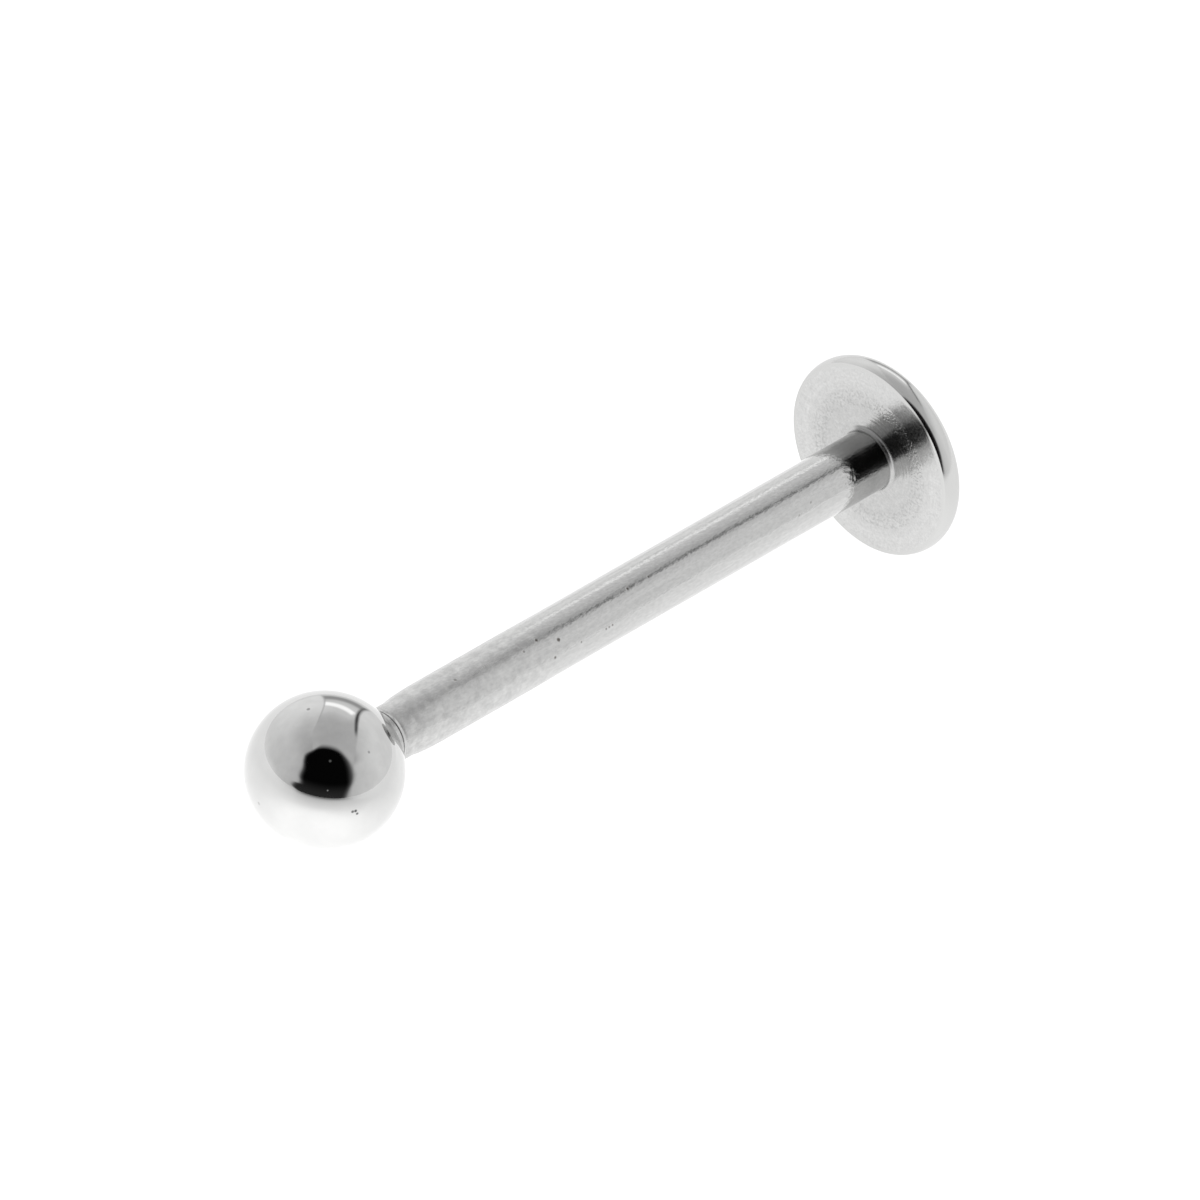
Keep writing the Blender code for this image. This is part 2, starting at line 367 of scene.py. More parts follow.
def back_steel():
    """Steel faced on a lathe: dull, mottled and ringed on the face, bright on the rim, rough at the root."""
    material = steel_shader("turned_back_steel", RIM_COLOUR, RIM_ROUGHNESS)
    wire = Wiring(material)
    place = wire.along_axis((1.0, 1.0, 1.0))
    parts = wire.split(place)
    radius = wire.from_axis(parts)
    near_face = wire.ranged(parts[2], FACE_SKIN, 2 * FACE_SKIN, 1.0, 0.0)
    on_face = wire.math("MULTIPLY", near_face,
                        wire.ranged(radius, FACE_RADIUS - 0.01e-3, FACE_RADIUS + 0.005e-3, 1.0, 0.0))
    at_root = wire.math("MULTIPLY", near_face, wire.ranged(radius, POST_RADIUS + 0.9 * ROOT_RING_ROUND,
                                                           POST_RADIUS + 1.3 * ROOT_RING_ROUND, 1.0, 0.0))
    blasted = wire.math("MULTIPLY", wire.fade(radius, BLASTED_RING[0], BLASTED_RING[1], 0.0, 1.0),
                        wire.fade(radius, BLASTED_RING[2], BLASTED_RING[3], 1.0, 0.0))
    ring_place = wire.nodes.new("ShaderNodeCombineXYZ")
    wire.links.new(radius, ring_place.inputs["X"])
    rings = wire.noise(ring_place.outputs[0], RING_FINENESS, 3.0, 0.6)
    clouds = wire.noise(place, CLOUD_FINENESS, 2.0, 0.5)
    grain = wire.noise(place, GRAIN_FINENESS, 2.0, 0.5)
    dents = wire.noise(place, DENT_FINENESS, 1.0, 0.5)

    dull = wire.math("ADD", wire.math("MULTIPLY", on_face, FACE_ROUGHNESS - RIM_ROUGHNESS), RIM_ROUGHNESS)
    dull = wire.math("ADD", dull, wire.math("MULTIPLY", at_root, ROOT_DULLNESS))
    dull = wire.math("MULTIPLY", dull, wire.ranged(grain, 0.3, 0.7, 0.8, 1.2))
    wire.links.new(dull, wire.shader.inputs["Roughness"])

    cut = wire.bump(wire.math("MULTIPLY", rings, on_face), RING_RELIEF)
    cut = wire.bump(wire.math("MULTIPLY", clouds, on_face), CLOUD_RELIEF, under=cut)
    face_grain = wire.math("MULTIPLY", grain, wire.math("ADD", wire.math("MULTIPLY", on_face, 0.8), 0.2))
    grained = wire.bump(face_grain, GRAIN_RELIEF, under=cut)
    dented = wire.math("MULTIPLY", wire.fade(dents, 0.50, 0.62, 0.0, 1.0), blasted)
    dented = wire.math("MULTIPLY", dented, on_face)
    wire.links.new(wire.bump(dented, -DENT_DEPTH, under=grained), wire.shader.inputs["Normal"])

    tone = wire.ranged(grain, 0.3, 0.7, 0.12, 0.36)
    tone = wire.math("ADD", tone, wire.ranged(clouds, 0.3, 0.7, -0.07, 0.07))
    tone = wire.math("ADD", tone, wire.ranged(rings, 0.3, 0.7, -0.06, 0.06))
    tone = wire.math("ADD", tone, wire.ranged(radius, BUFFED_RING[0], BUFFED_RING[1], 0.0, BUFFED_GAIN))
    tone = wire.math("SUBTRACT", tone, wire.math("MULTIPLY", dented, DENT_SHADE))
    face_tone = wire.mixed(tone, FACE_DARK, FACE_LIGHT)
    # Painted dark reflection of the post on the face round its root, on one side only.
    upper_side = wire.side(parts, ROOT_REFLECTION_RISE, ROOT_REFLECTION_FALL)
    painted_reflection = wire.math("MULTIPLY", wire.math("MULTIPLY", at_root, upper_side), ROOT_PAINTED_REFLECTION)
    face_tone = wire.mixed(painted_reflection, face_tone, PAINTED_REFLECTION_COLOUR)
    wire.links.new(wire.mixed(on_face, RIM_COLOUR, face_tone), wire.shader.inputs["Base Color"])
    return material


BACK_STEEL = back_steel()

edge = arc((FACE_RADIUS, EDGE_ROUND), EDGE_ROUND, 0.0, EDGE_ROUND_END, 5)
tight_centre = (edge[-1][0] - RIM_TIGHT * sin(RIM_START), edge[-1][1] + RIM_TIGHT * cos(RIM_START))
rim = edge + arc(tight_centre, RIM_TIGHT, RIM_START, RIM_TURN, 8)[1:]
side_round = (BACK_RADIUS - rim[-1][0]) / (1 - sin(RIM_TURN))
widest_depth = rim[-1][1] + side_round * cos(RIM_TURN)
rim += arc((BACK_RADIUS - side_round, widest_depth), side_round, RIM_TURN, pi / 2, 8)[1:]
outer_round = BACK_THICKNESS - widest_depth
rim += arc((BACK_RADIUS - outer_round, widest_depth), outer_round, pi / 2, pi, 20)[1:]
root_ring = [
    (POST_RADIUS + ROOT_RING_ROUND * (1 - cos(a)), -ROOT_RING_ROUND * (1 - sin(a)))
    for a in [pi / 2 * i / 10 for i in range(11)]
]
back_outline = [(0.0, -ROOT_RING_ROUND), (POST_RADIUS - 0.01e-3, -ROOT_RING_ROUND)]
back_outline += root_ring
for groove in TURNING_GROOVES:
    back_outline += [
        (groove + GROOVE_WIDTH * across, GROOVE_DEPTH * deep)
        for across, deep in ((-0.5, 0.0), (-0.25, 0.5), (0.0, 1.0), (0.25, 0.5), (0.5, 0.0))
    ]
back_outline += rim + [(FLAT_MIDDLE, BACK_THICKNESS), (0.0, BACK_THICKNESS)]
flat_back = turned("flat_back", back_outline, BACK_STEEL)
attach(flat_back, "stud")
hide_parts("flat_back_post")

# Post
# The 1.2 mm bar that passes through the piercing: drawn steel wire, polished
# along its length, with a few pits. It narrows to a neck behind the ball, and
# its end is turned down to the core that carries the thread.
POST_LENGTH = 13.0e-3
TAPER_LENGTH = 0.75e-3
NECK_RADIUS = 0.55e-3
NECK_LENGTH = 0.4e-3
SHOULDER_ROUND = 0.012e-3
END_GROOVE_DEPTH = 0.017e-3
END_GROOVE_WIDTH = 0.12e-3
END_LAND = 0.02e-3
THREAD_RADIUS = 0.5e-3
THREAD_PITCH = 0.25e-3
THREAD_LENGTH = 2.2e-3
COLLAR_RADIUS = 0.535e-3
COLLAR_LENGTH = 0.18e-3
COLLAR_BEVEL = 0.03e-3
TIP_BEVEL = 0.05e-3
CORE_RADIUS = THREAD_RADIUS - 0.6134 * THREAD_PITCH
TIP_HEIGHT = -POST_LENGTH - THREAD_LENGTH
ROOT_SINK = 0.1e-3
ROOT_END = 0.5e-3
POST_FACETS = 192
BARREL_STEPS = 12
TAPER_STEPS = 24
TAPER_SETTLE = 2.5
POST_COLOUR = (0.48, 0.48, 0.475)
POST_DARK = (0.43, 0.43, 0.427)
POST_LIGHT = (0.55, 0.55, 0.545)
MARK_STRETCH = (18000.0, 18000.0, 900.0)
MARK_DEPTH = 0.8e-6
WIRE_GRAIN_STRETCH = (20000.0, 20000.0, 9000.0)
WIRE_GRAIN_DEPTH = 4.0e-6
WORN_END = (-9.7e-3, -8.2e-3)
WORN_DULLNESS = 0.22
BLOTCH_FINENESS = 6000.0
# Painted dark reflection on the post beside its root, on one side only: where along it, round it and how
# strong.
POST_REFLECTION_END = (-1.15e-3, -0.70e-3)
POST_REFLECTION_RISE = (40, 60)
POST_REFLECTION_FALL = (103, 114)
POST_REFLECTION_STRENGTH = 0.42
# The turned end's own lighter tone, raised further as painted light against the shade in the gap under the
# ball.
TURNED_END_TONE_AND_PAINTED_LIGHT = (0.62, 0.62, 0.61)
TURNED_END_DULLNESS = 0.12
# Along the post from the back's face, round it from +Y towards +Z in degrees, radius and darkness.
PITS = (
    (11.31e-3, 102.2, 0.040e-3, 0.6),
    (9.65e-3, 119.3, 0.034e-3, 0.6),
    (9.26e-3, 112.8, 0.046e-3, 1.0),
    (8.82e-3, 131.5, 0.050e-3, 1.0),
    (9.03e-3, 157.0, 0.040e-3, 0.8),
    (8.33e-3, 156.2, 0.030e-3, 0.6),
    (7.67e-3, 158.2, 0.032e-3, 0.7),
    (7.59e-3, 157.8, 0.032e-3, 0.6),
    (7.50e-3, 157.6, 0.032e-3, 0.7),
    (6.83e-3, 113.9, 0.046e-3, 0.9),
    (6.27e-3, 113.9, 0.038e-3, 0.8),
    (2.48e-3, 153.0, 0.032e-3, 0.35),
    (2.12e-3, 143.0, 0.032e-3, 0.35),
    (0.97e-3, 146.0, 0.040e-3, 0.5),
)
PIT_COLOUR = (0.12, 0.11, 0.10)
PIT_DEPTH = 8.0e-6


def post_steel():
    """Drawn wire: fine marks a millimetre or more long, grain, small pits and a dull, worn end."""
    material = steel_shader("drawn_post_steel", POST_COLOUR, 0.12, edge_tint=1.0)
    wire = Wiring(material)
    place = wire.along_axis((1.0, 1.0, 1.0))
    parts = wire.split(place)
    marks = wire.noise(wire.along_axis(MARK_STRETCH), 1.0, 3.0, 0.6)
    grain = wire.noise(wire.along_axis(WIRE_GRAIN_STRETCH), 1.0, 3.0, 0.6)
    worn = wire.fade(parts[2], WORN_END[0], WORN_END[1], 1.0, 0.0)
    collar_end = -POST_LENGTH - COLLAR_LENGTH
    turned_end = wire.ranged(parts[2], collar_end, collar_end + 4.0e-6, 1.0, 0.0)
    rough = wire.ranged(marks, 0.3, 0.7, 0.025, 0.055)
    rough = wire.math("ADD", rough, wire.math("MULTIPLY", worn, WORN_DULLNESS))
    rough = wire.math("ADD", rough, wire.math("MULTIPLY", turned_end, TURNED_END_DULLNESS))
    wire.links.new(rough, wire.shader.inputs["Roughness"])

    pits = []
    for along, turn_round, size, strength in PITS:
        across = (POST_RADIUS * cos(radians(turn_round)), POST_RADIUS * sin(radians(turn_round)))
        pits.append(((*across, -along), size, strength))
    pitted = wire.spots(place, pits, 0.3)
    drawn = wire.bump(marks, MARK_DEPTH)
    grained = wire.bump(grain, WIRE_GRAIN_DEPTH, under=drawn)
    wire.links.new(wire.bump(pitted, -PIT_DEPTH, under=grained), wire.shader.inputs["Normal"])

    tone = wire.ranged(grain, 0.3, 0.7, 0.15, 0.7)
    tone = wire.math("ADD", tone, wire.ranged(marks, 0.3, 0.7, -0.15, 0.15))
    blotches = wire.ranged(wire.noise(place, BLOTCH_FINENESS, 3.0, 0.6), 0.3, 0.7, -0.45, 0.45)
    tone = wire.math("ADD", tone, wire.math("MULTIPLY", blotches, worn))
    steel_tone = wire.mixed(tone, POST_DARK, POST_LIGHT)
    # Turned end: its own tone plus painted light lifting the shade in the gap.
    steel_tone = wire.mixed(turned_end, steel_tone, TURNED_END_TONE_AND_PAINTED_LIGHT)
    # Painted dark reflection on one side of the post next to the back.
    painted_reflection = wire.math("MULTIPLY", wire.side(parts, POST_REFLECTION_RISE, POST_REFLECTION_FALL),
                        wire.fade(parts[2], POST_REFLECTION_END[0], POST_REFLECTION_END[1], 0.0, 1.0))
    steel_tone = wire.mixed(wire.math("MULTIPLY", painted_reflection, POST_REFLECTION_STRENGTH), steel_tone, PAINTED_REFLECTION_COLOUR)
    wire.links.new(wire.mixed(pitted, steel_tone, PIT_COLOUR), wire.shader.inputs["Base Color"])
    return material


POST_STEEL = post_steel()

neck_start = NECK_LENGTH - POST_LENGTH
barrel = POST_LENGTH - ROOT_END - NECK_LENGTH - TAPER_LENGTH
post_outline = [(0.0, ROOT_SINK), (POST_RADIUS, ROOT_SINK), (POST_RADIUS, -ROOT_END)]
post_outline += [(POST_RADIUS, -ROOT_END - barrel * i / BARREL_STEPS) for i in range(1, BARREL_STEPS)]
for i in range(TAPER_STEPS, -1, -1):
    share = i / TAPER_STEPS
    settle = (exp(-TAPER_SETTLE * share) - exp(-TAPER_SETTLE)) / (1 - exp(-TAPER_SETTLE))
    taper_radius = POST_RADIUS + (NECK_RADIUS - POST_RADIUS) * settle
    post_outline.append((taper_radius, neck_start + TAPER_LENGTH * share))
for across, deep in ((1.0, 0.0), (0.75, 0.45), (0.5, 1.0), (0.25, 0.45), (0.0, 0.0)):
    groove_height = END_LAND + END_GROOVE_WIDTH * across - POST_LENGTH
    post_outline.append((NECK_RADIUS - END_GROOVE_DEPTH * deep, groove_height))
shoulder_centre = (NECK_RADIUS - SHOULDER_ROUND, SHOULDER_ROUND - POST_LENGTH)
post_outline += arc(shoulder_centre, SHOULDER_ROUND, pi / 2, 0.0, 5)
post_outline += [
    (COLLAR_RADIUS, -POST_LENGTH),
    (COLLAR_RADIUS, -POST_LENGTH - COLLAR_LENGTH),
    (CORE_RADIUS, -POST_LENGTH - COLLAR_LENGTH - COLLAR_BEVEL),
    (CORE_RADIUS, TIP_HEIGHT + TIP_BEVEL),
    (CORE_RADIUS - TIP_BEVEL, TIP_HEIGHT),
    (0.0, TIP_HEIGHT),
]
post = turned("post", post_outline, POST_STEEL, facets=POST_FACETS)
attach(post, "stud")
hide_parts("flat_back_post")

# Thread
# The fine right-hand thread that the ball screws on to, cut on the post's
# turned-down end. Its ridge runs out to nothing at both ends, as a cut one does.
STEPS_PER_TURN = 96
TIP_LAND = 0.08e-3
WHOLE_TURNS = (THREAD_LENGTH - 2 * TIP_LAND) / THREAD_PITCH
COLLAR_TURNS = 1.0
RUN_OUT_TURNS = 0.35
CREST = 0.0625 * THREAD_PITCH
FLANK_SLOPE = 0.5774
RIDGE_SEAT = CORE_RADIUS - 0.02e-3


def thread_tree():
    """Winds a closed section round an axis as a thread, and draws it to a point at both ends."""
    tree = bpy.data.node_groups.new("cut_thread", "GeometryNodeTree")
    for name, kind in (
        ("Section", "NodeSocketGeometry"),
        ("Turns", "NodeSocketFloat"),
        ("Steps", "NodeSocketInt"),
        ("Pitch", "NodeSocketFloat"),
        ("Run out", "NodeSocketFloat"),
        ("Seat", "NodeSocketFloat"),
        ("Foot", "NodeSocketVector"),
        ("Axis", "NodeSocketVector"),
        ("Steel", "NodeSocketMaterial"),
    ):
        tree.interface.new_socket(name, in_out="INPUT", socket_type=kind)
    tree.interface.new_socket("Solid", in_out="OUTPUT", socket_type="NodeSocketGeometry")
    nodes, links = tree.nodes, tree.links
    given = nodes.new("NodeGroupInput")
    result = nodes.new("NodeGroupOutput")

    def calc(kind, operation, *values):
        node = nodes.new(kind)
        node.operation = operation
        for socket, value in zip(node.inputs, values):
            if isinstance(value, (int, float)):
                socket.default_value = value
            else:
                links.new(value, socket)
        return node.outputs[0]

    whole, real = "FunctionNodeIntegerMath", "ShaderNodeMath"
    count = nodes.new("GeometryNodeAttributeDomainSize")
    links.new(given.outputs["Section"], count.inputs[0])
    corners = count.outputs["Point Count"]
    columns = calc(whole, "ADD", given.outputs["Steps"], 1)
    grid = nodes.new("GeometryNodeMeshGrid")
    links.new(calc(whole, "ADD", corners, 1), grid.inputs["Vertices X"])
    links.new(columns, grid.inputs["Vertices Y"])
    index = nodes.new("GeometryNodeInputIndex").outputs[0]
    row = calc(whole, "MODULO", calc(whole, "DIVIDE_FLOOR", index, columns), corners)
    column = calc(whole, "MODULO", index, columns)

    sample = nodes.new("GeometryNodeSampleIndex")
    sample.data_type = "FLOAT_VECTOR"
    links.new(given.outputs["Section"], sample.inputs["Geometry"])
    links.new(nodes.new("GeometryNodeInputPosition").outputs[0], sample.inputs["Value"])
    links.new(row, sample.inputs["Index"])
    split = nodes.new("ShaderNodeSeparateXYZ")
    links.new(sample.outputs[0], split.inputs[0])

    share = calc(real, "DIVIDE", column, given.outputs["Steps"])
    turn = calc(real, "MULTIPLY", share, given.outputs["Turns"])
    to_end = calc(real, "MINIMUM", turn, calc(real, "SUBTRACT", given.outputs["Turns"], turn))
    grown = calc(real, "MINIMUM", calc(real, "DIVIDE", to_end, given.outputs["Run out"]), 1.0)
    out = calc(real, "MULTIPLY", calc(real, "SUBTRACT", split.outputs["X"], given.outputs["Seat"]), grown)
    radius = calc(real, "ADD", given.outputs["Seat"], out)
    rise = calc(real, "MULTIPLY", turn, given.outputs["Pitch"])
    height = calc(real, "ADD", calc(real, "MULTIPLY", split.outputs["Z"], grown), rise)
    angle = calc(real, "MULTIPLY", turn, 2 * pi)
    join = nodes.new("ShaderNodeCombineXYZ")
    links.new(calc(real, "MULTIPLY", radius, calc(real, "COSINE", angle)), join.inputs["X"])
    links.new(calc(real, "MULTIPLY", radius, calc(real, "SINE", angle)), join.inputs["Y"])
    links.new(height, join.inputs["Z"])
    shape = nodes.new("GeometryNodeSetPosition")
    links.new(grid.outputs["Mesh"], shape.inputs["Geometry"])
    links.new(join.outputs[0], shape.inputs["Position"])
    closed = nodes.new("GeometryNodeMergeByDistance")
    closed.inputs["Distance"].default_value = 2e-8
    links.new(shape.outputs[0], closed.inputs["Geometry"])
    lean = nodes.new("FunctionNodeAlignRotationToVector")
    lean.axis = "Z"
    links.new(given.outputs["Axis"], lean.inputs["Vector"])
    stand = nodes.new("GeometryNodeTransform")
    links.new(closed.outputs[0], stand.inputs["Geometry"])
    links.new(given.outputs["Foot"], stand.inputs["Translation"])
    links.new(lean.outputs[0], stand.inputs["Rotation"])
    plain = nodes.new("GeometryNodeRealizeInstances")
    links.new(stand.outputs[0], plain.inputs["Geometry"])
    steel = nodes.new("GeometryNodeSetMaterial")
    links.new(plain.outputs[0], steel.inputs["Geometry"])
    links.new(given.outputs["Steel"], steel.inputs["Material"])
    links.new(steel.outputs[0], result.inputs["Solid"])
    return tree


flank = (THREAD_RADIUS - RIDGE_SEAT) * FLANK_SLOPE
thread_start = TIP_HEIGHT + TIP_LAND + CREST
thread = settled(
    outline_piece("thread", [
        (RIDGE_SEAT, -CREST - flank),
        (THREAD_RADIUS, -CREST),
        (THREAD_RADIUS, CREST),
        (RIDGE_SEAT, CREST + flank),
    ]),
    thread_tree(),
    Turns=WHOLE_TURNS - COLLAR_TURNS,
    Steps=int(STEPS_PER_TURN * WHOLE_TURNS),
    Pitch=THREAD_PITCH,
    Run_out=RUN_OUT_TURNS,
    Seat=RIDGE_SEAT,
    Foot=FACE_MIDDLE + thread_start * POST_DIRECTION,
    Axis=POST_DIRECTION,
    Steel=POST_STEEL,
)
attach(thread, "stud")
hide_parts("flat_back_post")

# Ball
# The 3 mm bead that screws on to the post's end: surgical steel, tumbled and
# buffed to a mirror, with a small flat mouth where its tapped hole starts.
BALL_RADIUS = 1.5e-3
BORE_RADIUS = 0.55e-3
MOUTH_CHAMFER = 0.05e-3
MOUTH_LAND = 0.03e-3
MOUTH_GAP = 0.20e-3
BORE_PAST_TIP = 0.15e-3
DRILL_RADIUS = 0.3e-3
BALL_STEPS = 96
BALL_COLOUR = (0.53, 0.53, 0.527)
BALL_DARK = (0.515, 0.515, 0.512)
BALL_LIGHT = (0.545, 0.545, 0.541)
HAZE_FINENESS = 3500.0
SWELL_FINENESS = 2200.0
SWELL_DEPTH = 1.2e-6
SHADE_FINENESS = 1800.0
mouth_radius = BORE_RADIUS + MOUTH_CHAMFER + MOUTH_LAND
mouth_height = sqrt(BALL_RADIUS**2 - mouth_radius**2)
ball_height = -POST_LENGTH - MOUTH_GAP - mouth_height
BALL_CENTRE = FACE_MIDDLE + ball_height * POST_DIRECTION
# Each speck's tilt from the post's direction, its turn round it from +Y towards +Z, radius and darkness.
SPECKS = (
    (101.9, 76.7, 0.048e-3, 0.6),
    (115.8, 169.7, 0.040e-3, 0.9),
    (113.6, 169.6, 0.040e-3, 1.0),
    (112.4, 172.4, 0.036e-3, 0.9),
    (90.7, 131.5, 0.036e-3, 0.5),
    (168.5, -35.8, 0.050e-3, 0.25),
)
# Dark colour of the specks, also used as painted shade in the bore.
SPECK_AND_BORE_SHADE_COLOUR = (0.10, 0.10, 0.10)


def ball_steel():
    """Mirror steel with the faint unevenness of buffing, a few specks in the skin and painted shade
    darkening the bore.
    """
    material = steel_shader("buffed_ball_steel", BALL_COLOUR, 0.05, edge_tint=0.95)
    wire = Wiring(material)
    place = wire.along_axis((1.0, 1.0, 1.0), BALL_CENTRE)
    haze = wire.noise(place, HAZE_FINENESS, 3.0, 0.6)
    wire.links.new(wire.ranged(haze, 0.3, 0.7, 0.03, 0.06), wire.shader.inputs["Roughness"])
    swell = wire.noise(place, SWELL_FINENESS, 1.0, 0.4)
    wire.links.new(wire.bump(swell, SWELL_DEPTH), wire.shader.inputs["Normal"])
    shade = wire.noise(place, SHADE_FINENESS, 3.0, 0.5)
    skin = wire.mixed(wire.ranged(shade, 0.3, 0.7, 0.0, 1.0), BALL_DARK, BALL_LIGHT)
    specks = []
    for tilt, turn_round, size, strength in SPECKS:
        from_axis = BALL_RADIUS * sin(radians(tilt))
        across = (from_axis * cos(radians(turn_round)), from_axis * sin(radians(turn_round)))
        specks.append(((*across, BALL_RADIUS * cos(radians(tilt))), size, strength))
    specked = wire.spots(place, specks, 0.4)
    parts = wire.split(place)
    # Painted shade: the bore and the inner edge of its mouth are darkened, as the gap under the post lies in
    # shade.
    within = wire.math("LESS_THAN", wire.from_axis(parts), BORE_RADIUS + 0.4 * MOUTH_CHAMFER)
    painted_bore_shade = wire.math("MULTIPLY", within, wire.math("GREATER_THAN", parts[2], -1.0e-3))
    specks_and_bore_shade = wire.math("MAXIMUM", specked, painted_bore_shade)
    wire.links.new(wire.mixed(specks_and_bore_shade, skin, SPECK_AND_BORE_SHADE_COLOUR), wire.shader.inputs["Base Color"])
    return material


BALL_STEEL = ball_steel()

bore_bottom = TIP_HEIGHT - BORE_PAST_TIP - ball_height
ball_outline = [
    (0.0, bore_bottom),
    (DRILL_RADIUS, bore_bottom),
    (BORE_RADIUS, bore_bottom),
    (BORE_RADIUS, mouth_height - MOUTH_CHAMFER),
    (BORE_RADIUS + MOUTH_CHAMFER, mouth_height),
]
mouth_angle = atan2(mouth_radius, mouth_height)
for i in range(BALL_STEPS + 1):
    angle = mouth_angle + (pi - mouth_angle) * i / BALL_STEPS
    ball_outline.append((BALL_RADIUS * sin(angle) if i < BALL_STEPS else 0.0, BALL_RADIUS * cos(angle)))
ball = turned("ball", ball_outline[::-1], BALL_STEEL, foot=BALL_CENTRE)
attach(ball, "ball")
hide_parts("screw_ball")

# Floor
# A plain sheet of pale, softly glowing acrylic to the camera, so contact shadows stay faint.
# In the steel it shows painted light: a painted pool of light close to the stud, a painted
# shadow just behind the ball, and painted darkening towards the open side of the tent, where no cloth lights
# it.
CAMERA_AZIMUTH = radians(-52.1)
TOWARD_CAMERA = (sin(CAMERA_AZIMUTH), -cos(CAMERA_AZIMUTH))
FLOOR_HALF = 3.0
BY_BALL = (-9.3e-3, -1.95e-3, 0.0)
BY_BACK = (7.0e-3, -2.0e-3, 0.0)
BEHIND_BALL = (-5.1e-3, 1.35e-3, 0.0)
BACK_DIMMER = 4.2e-3
POST_DIMMER = 5.0e-3
# Painted shadow on the floor just behind the ball: its reach and tone.
PAINTED_SHADOW_REACH = (1.7e-3, 2.8e-3)
PAINTED_SHADOW_TONE = 0.88
SHEET_GREY = 0.4
SEEN_GLOW = 0.86
# Painted pool of light round the stud: the floor's glow in reflections by distance from it.
PAINTED_LIGHT_BY_DISTANCE = ((0.0, 1.68), (1.5e-3, 1.63), (3.0e-3, 1.40), (4.5e-3, 1.20), (6.0e-3, 1.12),
                    (9.0e-3, 1.03), (12.0e-3, 1.00))
# Painted darkening of the floor towards the camera's side: by bearing from the camera's line, and by
# distance from the stud.
DIM_BY_BEARING = ((0, 1.0), (20, 0.95), (40, 0.36), (60, 0.10), (80, 0.0), (180, 0.0))
DIM_BY_DISTANCE = ((0.0, 0.0), (7.0e-3, 0.02), (10.0e-3, 0.11), (15.0e-3, 0.21), (22.0e-3, 0.30),
                   (30.0e-3, 0.42), (50.0e-3, 0.69), (90.0e-3, 0.95), (120.0e-3, 1.0))

floor_mesh = bpy.data.meshes.new("floor")
floor_mesh.from_pydata([(-FLOOR_HALF, -FLOOR_HALF, 0), (FLOOR_HALF, -FLOOR_HALF, 0),
                        (FLOOR_HALF, FLOOR_HALF, 0), (-FLOOR_HALF, FLOOR_HALF, 0)], [], [(0, 1, 2, 3)])
floor = bpy.data.objects.new("floor", floor_mesh)
bpy.context.scene.collection.objects.link(floor)


def floor_with_painted_light():
    material = bpy.data.materials.new("floor_with_painted_light")
    material.use_nodes = True
    glow = Wiring(material)
    sheet = glow.shader
    sheet.inputs["Base Color"].default_value = (SHEET_GREY, SHEET_GREY, SHEET_GREY, 1.0)
    sheet.inputs["Roughness"].default_value = 0.9
    sheet.inputs["Specular IOR Level"].default_value = 0.1
    sheet.inputs["Emission Color"].default_value = (1.0, 1.0, 1.0, 1.0)

    def measure(operation, first, second):
        node = glow.nodes.new("ShaderNodeVectorMath")
        node.operation = operation
        glow.give(node.inputs[0], first)
        glow.give(node.inputs[1], second)
        return node.outputs["Value"]

    place = glow.nodes.new("ShaderNodeTexCoord").outputs["Object"]
    under_post = glow.nodes.new("ShaderNodeCombineXYZ")
    along = glow.math("MINIMUM", glow.math("MAXIMUM", glow.split(place)[0], BY_BALL[0]), BY_BACK[0])
    glow.links.new(along, under_post.inputs["X"])
    under_post.inputs["Y"].default_value = BY_BACK[1]
    from_back = glow.math("ADD", measure("DISTANCE", place, BY_BACK), BACK_DIMMER)
    from_post = glow.math("ADD", measure("DISTANCE", place, under_post.outputs[0]), POST_DIMMER)
    away = glow.math("MINIMUM", measure("DISTANCE", place, BY_BALL), from_back)
    away = glow.math("MINIMUM", away, from_post)
    # Painted pool of light round the stud, seen only in reflections.
    bright = glow.curve(away, PAINTED_LIGHT_BY_DISTANCE[-1][0], 2.0, PAINTED_LIGHT_BY_DISTANCE)
    # Painted shadow on the floor just behind the ball.
    behind = measure("DISTANCE", place, BEHIND_BALL)
    painted_shadow = glow.fade(behind, PAINTED_SHADOW_REACH[0], PAINTED_SHADOW_REACH[1], PAINTED_SHADOW_TONE, 1.0)
    bright = glow.math("MULTIPLY", bright, painted_shadow)

    # Painted darkening of the floor towards the camera's side, far from the stud.
    ahead = measure("DOT_PRODUCT", place, (*TOWARD_CAMERA, 0.0))
    aside = measure("DOT_PRODUCT", place, (-TOWARD_CAMERA[1], TOWARD_CAMERA[0], 0.0))
    bearing = glow.math("DEGREES", glow.math("ABSOLUTE", glow.math("ARCTAN2", aside, ahead)))
    facing = glow.curve(bearing, 180.0, 1.0, DIM_BY_BEARING)
    from_middle = measure("DISTANCE", place, (0.0, 0.0, 0.0))
    far = glow.curve(from_middle, DIM_BY_DISTANCE[-1][0], 1.0, DIM_BY_DISTANCE)
    reflected = glow.math("MULTIPLY", bright, glow.math("SUBTRACT", 1.0, glow.math("MULTIPLY", facing, far)))
    # The camera sees the floor plain; the painted light shows only in reflections.
    seen = glow.nodes.new("ShaderNodeLightPath").outputs["Is Camera Ray"]
    strength = glow.math("MULTIPLY", reflected, glow.math("SUBTRACT", 1.0, seen))
    strength = glow.math("ADD", strength, glow.math("MULTIPLY", seen, SEEN_GLOW))
    glow.links.new(strength, sheet.inputs["Emission Strength"])
    return material


floor_mesh.materials.append(floor_with_painted_light())

# Light
# A white light tent round the object: two lit cloth walls with arched tops, a
# greyer roof, a bright gap at the back and the dark opening that the camera
# looks through. It is painted by direction on the world; the camera sees white.
CLOTH_FOLDS = 0.05
TENT_STRENGTH = 1.3
ROOF_TONE = (0.56, 0.50)
